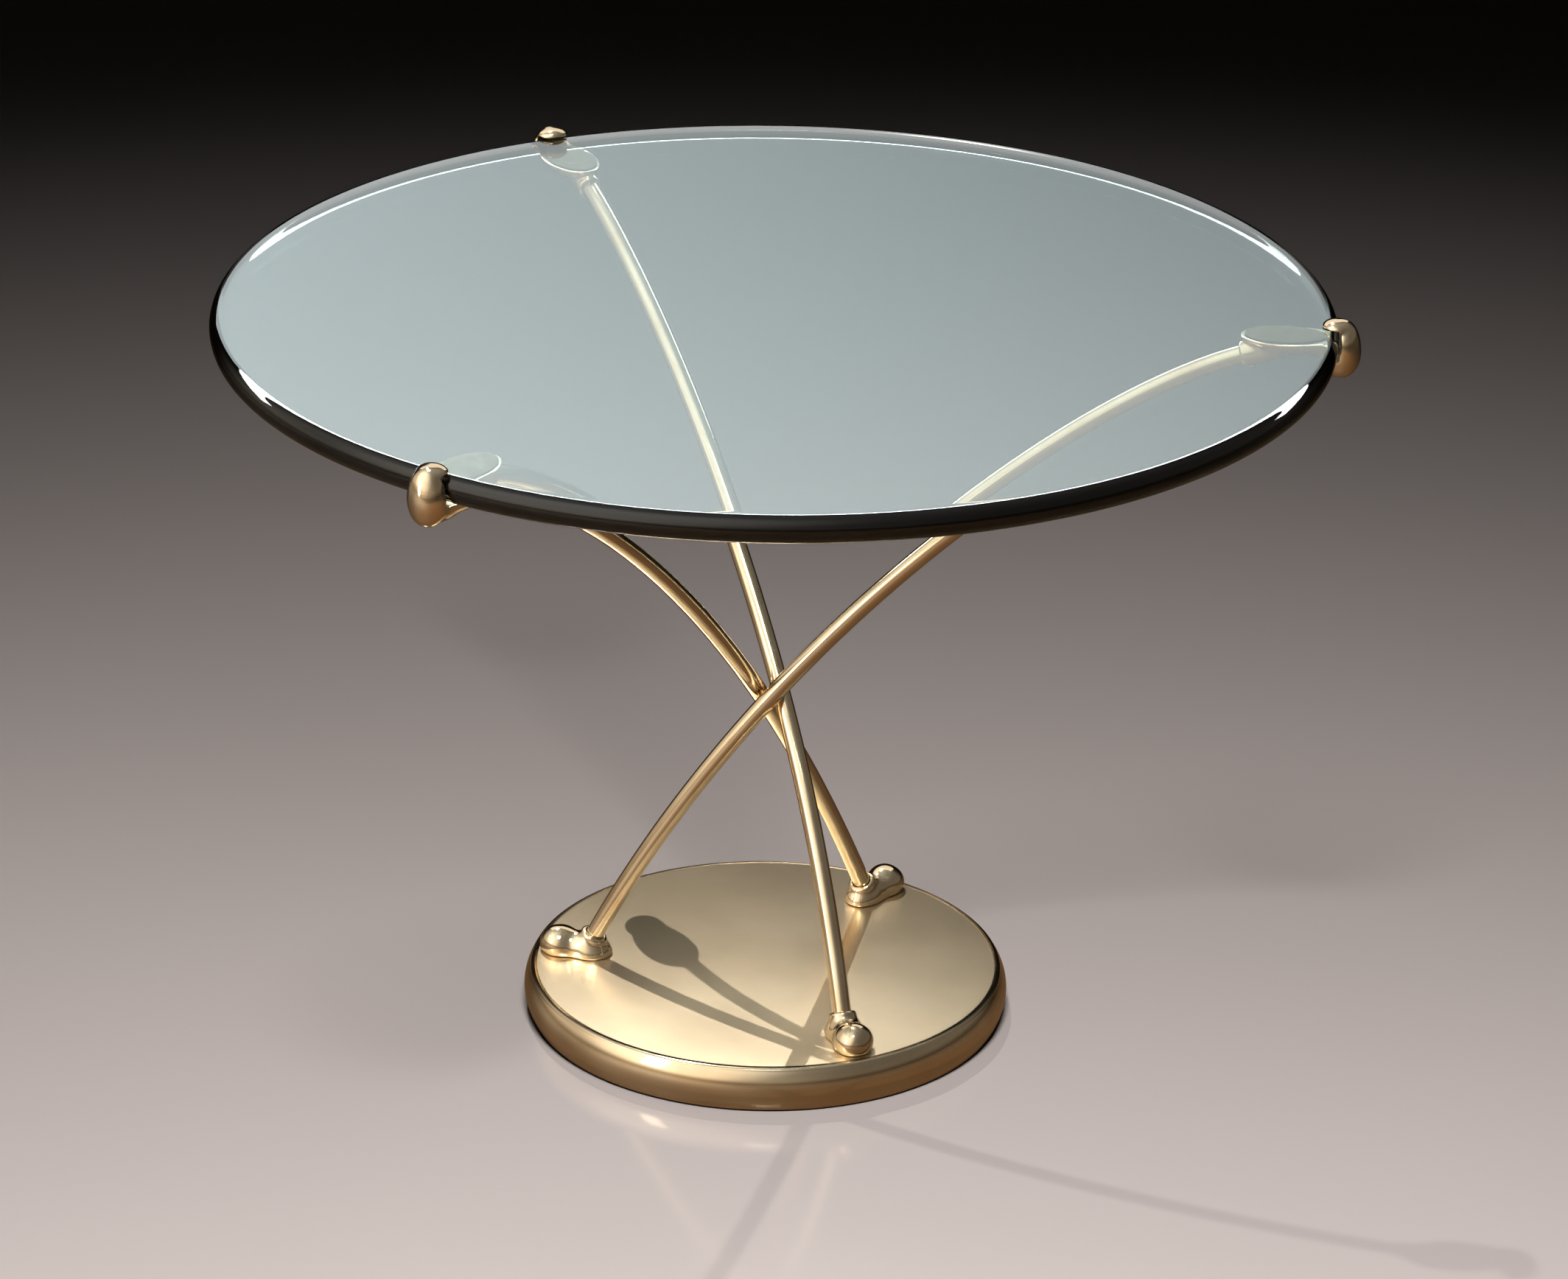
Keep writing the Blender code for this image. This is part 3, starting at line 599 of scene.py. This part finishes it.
class Nodes:
    """Small wrapper that adds nodes and wires them."""

    def __init__(self, tree):
        self.tree = tree

    def add(self, kind, **settings):
        node = self.tree.nodes.new(kind)
        for key, value in settings.items():
            setattr(node, key, value)
        return node

    def wire(self, source, target):
        self.tree.links.new(source, target)

    def place(self):
        return self.add("ShaderNodeTexCoord").outputs["Object"]

    def noise(self, vector, scale, detail=3.0, rough=0.5, distortion=0.0):
        node = self.add("ShaderNodeTexNoise")
        node.inputs["Scale"].default_value = scale
        node.inputs["Detail"].default_value = detail
        node.inputs["Roughness"].default_value = rough
        node.inputs["Distortion"].default_value = distortion
        self.wire(vector, node.inputs["Vector"])
        return node.outputs["Fac"]

    def stretch(self, vector, scale):
        node = self.add("ShaderNodeMapping")
        node.inputs["Scale"].default_value = scale
        self.wire(vector, node.inputs["Vector"])
        return node.outputs["Vector"]

    def span(self, value, low, high, to_low, to_high, smooth=False):
        node = self.add("ShaderNodeMapRange")
        if smooth:
            node.interpolation_type = 'SMOOTHSTEP'
        for key, v in (("From Min", low), ("From Max", high),
                       ("To Min", to_low), ("To Max", to_high)):
            node.inputs[key].default_value = v
        self.wire(value, node.inputs["Value"])
        return node.outputs["Result"]

    def maths(self, kind, a, b=None):
        node = self.add("ShaderNodeMath", operation=kind)
        for socket, value in zip(node.inputs, (a, b)):
            if value is None:
                continue
            if isinstance(value, (int, float)):
                socket.default_value = value
            else:
                self.wire(value, socket)
        return node.outputs["Value"]

    def colours(self, value, *stops):
        node = self.add("ShaderNodeValToRGB")
        ramp = node.color_ramp
        while len(ramp.elements) < len(stops):
            ramp.elements.new(0.5)
        for element, (place, colour) in zip(ramp.elements, stops):
            element.position = place
            element.color = (*colour, 1.0)
        self.wire(value, node.inputs["Fac"])
        return node.outputs["Color"]

    def blend(self, factor, a, b):
        node = self.add("ShaderNodeMix", data_type='RGBA')
        self.wire(factor, node.inputs["Factor"])
        for socket, value in ((node.inputs[6], a), (node.inputs[7], b)):
            if isinstance(value, tuple):
                socket.default_value = (*value, 1.0)
            else:
                self.wire(value, socket)
        return node.outputs[2]

    def bump(self, height, distance, strength=1.0, normal=None):
        node = self.add("ShaderNodeBump")
        node.inputs["Distance"].default_value = distance
        node.inputs["Strength"].default_value = strength
        self.wire(height, node.inputs["Height"])
        if normal is not None:
            self.wire(normal, node.inputs["Normal"])
        return node.outputs["Normal"]


BRONZE_LIGHT = (0.81, 0.69, 0.505)
BRONZE_MID = (0.75, 0.62, 0.435)
BRONZE_WARM = (0.69, 0.54, 0.36)


def polished_bronze(name, rough=(0.10, 0.17), along=False, cast=False):
    mat, tree, shader, _ = new_material(name)
    n = Nodes(tree)
    where = n.place()
    tone = n.noise(where, 22.0, 4.0, 0.55)
    fine = n.noise(where, 160.0, 3.0)
    colour = n.colours(tone, (0.30, BRONZE_WARM), (0.52, BRONZE_MID),
                       (0.74, BRONZE_LIGHT))
    n.wire(colour, shader.inputs["Base Color"])
    shader.inputs["Metallic"].default_value = 1.0
    smear = n.noise(where, 45.0, 5.0, 0.6, 0.4)
    base = n.span(smear, 0.3, 0.7, rough[0], rough[1])
    if along:
        uv = n.add("ShaderNodeUVMap", uv_map="along").outputs["UV"]
        lines = n.noise(n.stretch(uv, (90.0, 14.0, 1.0)), 4.0, 4.0, 0.6)
        rings = n.noise(n.stretch(uv, (3.0, 900.0, 1.0)), 1.0, 2.0)
        base = n.maths('ADD', base, n.span(lines, 0.35, 0.7, -0.015, 0.045))
        height = n.maths('ADD', n.maths('MULTIPLY', lines, 0.6),
                         n.maths('MULTIPLY', rings, 0.4))
        normal = n.bump(height, 0.00002, 0.6)
    elif cast:
        dimples = n.noise(where, 210.0, 3.0, 0.5)
        soft = n.noise(where, 70.0, 2.0)
        height = n.maths('ADD', n.maths('MULTIPLY', dimples, 0.35), soft)
        normal = n.bump(height, 0.00028, 0.75)
    else:
        normal = n.bump(fine, 0.00002, 0.4)
    n.wire(base, shader.inputs["Roughness"])
    n.wire(normal, shader.inputs["Normal"])
    return mat


def base_cover_finish():
    mat, tree, shader, _ = new_material("base_cover_finish")
    n = Nodes(tree)
    where = n.place()
    parts = n.add("ShaderNodeSeparateXYZ")
    n.wire(where, parts.inputs["Vector"])
    x, y, z = parts.outputs
    radius = n.maths('SQRT', n.maths('ADD', n.maths('MULTIPLY', x, x),
                                     n.maths('MULTIPLY', y, y)))
    side = n.span(radius, 0.1612, 0.1632, 0.0, 1.0, smooth=True)
    tone = n.noise(where, 14.0, 4.0, 0.55)
    top = n.colours(tone, (0.30, (0.72, 0.585, 0.405)), (0.5, (0.75, 0.62, 0.435)),
                    (0.7, (0.79, 0.66, 0.47)))
    rim = n.colours(tone, (0.30, BRONZE_WARM), (0.52, BRONZE_MID),
                    (0.74, BRONZE_LIGHT))
    n.wire(n.blend(side, top, rim), shader.inputs["Base Color"])
    shader.inputs["Metallic"].default_value = 1.0
    # fine turned lines that run round the top
    turned = n.add("ShaderNodeCombineXYZ")
    n.wire(n.maths('MULTIPLY', radius, 1600.0), turned.inputs["X"])
    spin = n.maths('ARCTAN2', y, x)
    n.wire(n.maths('MULTIPLY', spin, 5.0), turned.inputs["Y"])
    lines = n.noise(turned.outputs["Vector"], 1.0, 3.0, 0.6)
    grain = n.noise(where, 900.0, 2.0)
    cloud = n.noise(where, 20.0, 4.0, 0.6)
    top_rough = n.maths('ADD', n.span(cloud, 0.3, 0.7, 0.297, 0.309),
                        n.span(grain, 0.3, 0.7, -0.02, 0.02))
    rim_rough = n.span(n.noise(where, 60.0, 4.0, 0.6), 0.3, 0.7, 0.08, 0.13)
    keep_rim = n.maths('MULTIPLY', side, rim_rough)
    keep_top = n.maths('MULTIPLY', n.maths('SUBTRACT', 1.0, side), top_rough)
    n.wire(n.maths('ADD', keep_rim, keep_top), shader.inputs["Roughness"])
    height = n.maths('MULTIPLY', n.maths('SUBTRACT', 1.0, side),
                     n.maths('ADD', n.maths('MULTIPLY', lines, 0.5),
                             n.maths('MULTIPLY', grain, 0.5)))
    # the top reads as very slightly crowned
    crown = n.maths('MULTIPLY', n.maths('MULTIPLY', radius, radius), -0.215)
    lean = n.maths('MULTIPLY', x, n.maths('ABSOLUTE', x))
    crown = n.maths('ADD', crown, n.maths('MULTIPLY', lean, -0.12))
    crown = n.maths('MULTIPLY', crown, n.maths('SUBTRACT', 1.0, side))
    crowned = n.bump(crown, 1.0, 1.0)
    n.wire(n.bump(height, 0.00002, 0.5, crowned), shader.inputs["Normal"])
    return mat


def glass_finish():
    mat, tree, shader, out = new_material("glass_finish")
    n = Nodes(tree)
    where = n.place()
    shader.inputs["Base Color"].default_value = (0.985, 0.995, 0.995, 1.0)
    shader.inputs["Transmission Weight"].default_value = 1.0
    shader.inputs["IOR"].default_value = 1.52
    smudge = n.noise(where, 7.0, 5.0, 0.6, 0.6)
    n.wire(n.span(smudge, 0.60, 0.85, 0.0, 0.003), shader.inputs["Roughness"])
    wave = n.noise(where, 3.0, 1.0)
    n.wire(n.bump(wave, 0.0004, 0.10), shader.inputs["Normal"])
    tint = n.add("ShaderNodeVolumeAbsorption")
    tint.inputs["Color"].default_value = (0.18, 0.44, 0.42, 1.0)
    tint.inputs["Density"].default_value = 12.0
    n.wire(tint.outputs["Volume"], out.inputs["Volume"])
    return mat


def rubber_finish():
    mat, tree, shader, _ = new_material("clear_rubber_finish")
    n = Nodes(tree)
    where = n.place()
    cloud = n.noise(where, 90.0, 3.0)
    n.wire(n.colours(cloud, (0.35, (0.038, 0.030, 0.006)),
                     (0.65, (0.058, 0.046, 0.012))),
           shader.inputs["Base Color"])
    n.wire(n.span(cloud, 0.3, 0.7, 0.55, 0.7), shader.inputs["Roughness"])
    shader.inputs["Specular IOR Level"].default_value = 0.06
    shader.inputs["IOR"].default_value = 1.43
    n.wire(n.bump(n.noise(where, 800.0, 2.0), 0.00003, 0.4),
           shader.inputs["Normal"])
    return mat


def rough_solid(name, dark, light, rough, metallic, scale, depth, fine=900.0):
    mat, tree, shader, _ = new_material(name)
    n = Nodes(tree)
    where = n.place()
    cloud = n.noise(where, scale, 5.0, 0.6)
    grain = n.noise(where, fine, 3.0, 0.6)
    n.wire(n.colours(cloud, (0.32, dark), (0.68, light)),
           shader.inputs["Base Color"])
    n.wire(n.maths('ADD', n.span(cloud, 0.3, 0.7, rough[0], rough[1]),
                   n.span(grain, 0.3, 0.7, -0.05, 0.05)),
           shader.inputs["Roughness"])
    shader.inputs["Metallic"].default_value = metallic
    height = n.maths('ADD', n.maths('MULTIPLY', cloud, 0.4), grain)
    n.wire(n.bump(height, depth, 0.8), shader.inputs["Normal"])
    return mat


def felt_finish():
    mat, tree, shader, _ = new_material("felt_finish")
    n = Nodes(tree)
    where = n.place()
    fibres = n.noise(n.stretch(where, (1.0, 1.6, 1.0)), 1400.0, 5.0, 0.7, 1.5)
    clumps = n.noise(where, 120.0, 4.0, 0.6)
    mixed = n.maths('ADD', n.maths('MULTIPLY', fibres, 0.6),
                    n.maths('MULTIPLY', clumps, 0.4))
    n.wire(n.colours(mixed, (0.36, (0.045, 0.032, 0.024)),
                     (0.64, (0.13, 0.095, 0.07))),
           shader.inputs["Base Color"])
    n.wire(n.span(mixed, 0.3, 0.7, 0.88, 0.98), shader.inputs["Roughness"])
    shader.inputs["Sheen Weight"].default_value = 0.35
    shader.inputs["Sheen Roughness"].default_value = 0.5
    n.wire(n.bump(mixed, 0.0006, 0.8), shader.inputs["Normal"])
    return mat


def dress(obj, mat):
    if obj.material_slots:
        for slot in obj.material_slots:
            slot.link = 'OBJECT'
            slot.material = mat
    else:
        obj.data.materials.append(mat)


rod_mat = polished_bronze("rod_finish", (0.09, 0.14), along=True)
foot_mat = polished_bronze("foot_finish", (0.07, 0.12), cast=True)
claw_mat = polished_bronze("claw_finish", (0.09, 0.15), cast=True)
dress(glass, glass_finish())
dress(shell, base_cover_finish())
pad_mat = rubber_finish()
for letter in STATIONS:
    dress(pieces["arched_rod_" + letter], rod_mat)
    dress(pieces["cast_foot_" + letter], foot_mat)
    dress(pieces["cast_claw_" + letter], claw_mat)
    dress(pieces["soft_pad_" + letter], pad_mat)
    dress(pieces["lip_cushion_" + letter], pad_mat)

iron = rough_solid("cast_iron_finish", (0.030, 0.028, 0.027),
                   (0.085, 0.080, 0.078), (0.55, 0.75), 0.85, 40.0, 0.0005,
                   260.0)
paint = rough_solid("black_paint_finish", (0.018, 0.018, 0.019),
                    (0.034, 0.034, 0.036), (0.38, 0.52), 0.0, 30.0, 0.00012)
zinc = rough_solid("zinc_finish", (0.44, 0.45, 0.46), (0.62, 0.63, 0.65),
                   (0.24, 0.40), 1.0, 220.0, 0.00003, 2400.0)
felt = felt_finish()
for name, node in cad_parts.items():
    if name.startswith("base_weight"):
        dress(node, iron)
    elif name.startswith("base_bottom_plate"):
        dress(node, paint)
    elif name.startswith("base_felt"):
        dress(node, felt)
    elif "screw" in name or "bolt" in name or "washer" in name:
        dress(node, zinc)

# ================================================================= stage ===
def stage_plane(name, corners, mat):
    mesh = bpy.data.meshes.new(name)
    mesh.from_pydata(corners, [], [tuple(range(len(corners)))])
    mesh.update()
    obj = bpy.data.objects.new(name, mesh)
    bpy.context.scene.collection.objects.link(obj)
    obj.data.materials.append(mat)
    return obj


mat, tree, shader, _ = new_material("floor_finish")
n = Nodes(tree)
where = n.place()
cloud = n.noise(where, 1.4, 3.0)
pale = n.colours(cloud, (0.3, (0.71, 0.640, 0.615)), (0.7, (0.73, 0.660, 0.635)))
# painted reflection: to glossy rays that are not transmission rays the floor is
# painted dark brown instead of pale, so the metal mirrors a darker floor than the
# one the camera sees
path = n.add("ShaderNodeLightPath").outputs
painted_dark_reflection = n.maths('MULTIPLY', path["Is Glossy Ray"],
                   n.maths('SUBTRACT', 1.0, path["Is Transmission Ray"]))
n.wire(n.blend(painted_dark_reflection, pale, (0.22, 0.13, 0.065)),
       shader.inputs["Base Color"])
n.wire(n.span(n.noise(where, 5.0, 4.0), 0.3, 0.7, 0.10, 0.13),
       shader.inputs["Roughness"])
stage_plane("floor", [(-14, -14, 0), (14, -14, 0), (14, 14, 0), (-14, 14, 0)],
            mat)

# ---- lights
scene = bpy.context.scene


def lamp(kind, name, place, target, power, colour, **settings):
    data = bpy.data.lights.new(name, kind)
    data.energy = power
    data.color = colour
    visible = settings.pop("visible", {})
    for key, value in settings.items():
        setattr(data, key, value)
    obj = bpy.data.objects.new(name, data)
    scene.collection.objects.link(obj)
    obj.location = place
    aim = Vector(target) - Vector(place)
    obj.rotation_euler = aim.to_track_quat('-Z', 'Y').to_euler()
    for key, value in visible.items():
        setattr(obj, "visible_" + key, value)
    return obj


SWEEP_UP = (1.14, 2.16)
SWEEP_ACROSS = (-0.90, 0.90)
SUN_FROM = Vector((-0.150, 0.5355, 0.831)).normalized()
lamp('SPOT', "key", Vector((0.0, 0.0, 0.45)) + SUN_FROM * 12.0,
     (0.35, -2.2, 0.0), 5450.0, (1.0, 0.955, 0.885), shadow_soft_size=0.02,
     spot_size=radians(40.0), spot_blend=1.0, visible={"diffuse": False})
lamp('SPOT', "key_on_floor", Vector((0.0, 0.0, 0.45)) + SUN_FROM * 12.0,
     (0.3, -1.6, 0.0), 1000.0, (1.0, 0.96, 0.93), shadow_soft_size=0.09,
     spot_size=radians(30.0), spot_blend=1.0, visible={"glossy": False})
lamp('SPOT', "floor_fill", (0.0, -2.0, 3.5), (0.0, -2.0, 0.0), 730.0,
     (1.0, 0.965, 0.955), shadow_soft_size=0.6, spot_size=radians(95.0),
     spot_blend=1.0, visible={"glossy": False})

left_box = lamp('AREA', "left_box", (-1.9, -1.5, 1.05), (0.0, 0.0, 0.28), 9.0,
     (1.0, 0.97, 0.92), shape='RECTANGLE', size=0.4, size_y=1.1,
     visible={"diffuse": False})
top_box = lamp('AREA', "top_box", (-0.25, 0.1, 2.3), (-0.05, 0.0, 0.2), 8.0,
     (1.0, 0.985, 0.96), shape='RECTANGLE', size=0.5, size_y=0.4,
     visible={"diffuse": False})
rim_box = lamp('AREA', "rim_box", (0.0, 5.0, 3.82), (0.0, 0.0, 3.82), 930.0,
               (0.93, 0.97, 1.0), shape='RECTANGLE', size=16.0, size_y=1.1,
               visible={"diffuse": False})
back_box = lamp('AREA', "back_box", (-0.1, 1.9, 1.75), (0.0, 0.0, 0.40), 13.0,
                (1.0, 0.93, 0.82), shape='RECTANGLE', size=3.0, size_y=1.3,
                visible={"diffuse": False})

# bright sweep behind the table that the glass mirrors, graded over its face
sweep_panel = lamp('AREA', "sweep", (0.0, 1.5, 1.16), (0.0, 0.0, 1.16),
                   1.0, (1.0, 1.0, 1.0), shape='RECTANGLE', size=2.2,
                   size_y=0.58, visible={"diffuse": False})
SWEEP_AREA = 2.2 * 0.58
sweep_panel.data.energy = pi * SWEEP_AREA
sweep_panel.data.use_nodes = True
tree = sweep_panel.data.node_tree
tree.nodes.clear()
n = Nodes(tree)
out = n.add("ShaderNodeOutputLight")
glow = n.add("ShaderNodeEmission")
n.wire(glow.outputs["Emission"], out.inputs["Surface"])
parts = n.add("ShaderNodeSeparateXYZ")
n.wire(n.add("ShaderNodeNewGeometry").outputs["Parametric"],
       parts.inputs["Vector"])
across, upward = parts.outputs[0], parts.outputs[1]
level = n.maths('ADD', n.span(upward, 0.0, 1.0, *SWEEP_UP),
                n.span(across, 0.0, 1.0, *SWEEP_ACROSS))
n.wire(level, glow.inputs["Strength"])
glow.inputs["Color"].default_value = (0.88, 0.985, 1.0, 1.0)

# the sweep and the rim box shine on the glass alone
glass_only = bpy.data.collections.new("glass_only")
glass_only.objects.link(glass)
sweep_panel.light_linking.receiver_collection = glass_only
rim_box.light_linking.receiver_collection = glass_only
# these reach the metal alone, so that they don't show in the glass or floor
castings_only = bpy.data.collections.new("castings_only")
metal_only = bpy.data.collections.new("metal_only")
metal_only.objects.link(shell)
for letter in STATIONS:
    castings_only.objects.link(pieces["cast_foot_" + letter])
    castings_only.objects.link(pieces["cast_claw_" + letter])
    for stem in ("cast_foot_", "cast_claw_", "arched_rod_"):
        metal_only.objects.link(pieces[stem + letter])
back_box.light_linking.receiver_collection = castings_only
left_box.light_linking.receiver_collection = metal_only
top_box.light_linking.receiver_collection = metal_only

# dim room for reflections only
world = bpy.data.worlds.new("room")
scene.world = world
world.use_nodes = True
tree = world.node_tree
tree.nodes.clear()
n = Nodes(tree)
out = n.add("ShaderNodeOutputWorld")
sky = n.add("ShaderNodeBackground")
n.wire(sky.outputs["Background"], out.inputs["Surface"])
parts = n.add("ShaderNodeSeparateXYZ")
n.wire(n.add("ShaderNodeTexCoord").outputs["Generated"],
       parts.inputs["Vector"])
tone = n.colours(n.span(parts.outputs["Z"], -0.2, 1.0, 0.0, 1.0),
                 (0.0, (0.10, 0.070, 0.045)), (0.17, (0.16, 0.12, 0.08)),
                 (0.32, (0.40, 0.35, 0.285)), (0.55, (0.36, 0.33, 0.285)),
                 (1.0, (0.44, 0.43, 0.40)))
side = n.span(parts.outputs["X"], -0.9, 0.8, 1.9, 0.40, smooth=True)
aim = n.maths('ADD', n.maths('MULTIPLY', parts.outputs["X"], -0.55),
              n.maths('ADD', n.maths('MULTIPLY', parts.outputs["Y"], -0.50),
                      n.maths('MULTIPLY', parts.outputs["Z"], 0.67)))
boost = n.span(aim, 0.60, 0.95, 1.0, 2.7, smooth=True)
front = n.maths('MULTIPLY', side, boost)
behind = n.span(parts.outputs["Y"], 0.42, 0.84, 1.0, 0.02, smooth=True)
n.wire(tone, sky.inputs["Color"])
n.wire(n.maths('MULTIPLY', front, behind), sky.inputs["Strength"])
world.cycles_visibility.diffuse = False

glass.visible_shadow = False
scene.cycles.caustics_reflective = False
scene.cycles.caustics_refractive = False

scene.view_settings.view_transform = 'Standard'
scene.view_settings.look = 'None'
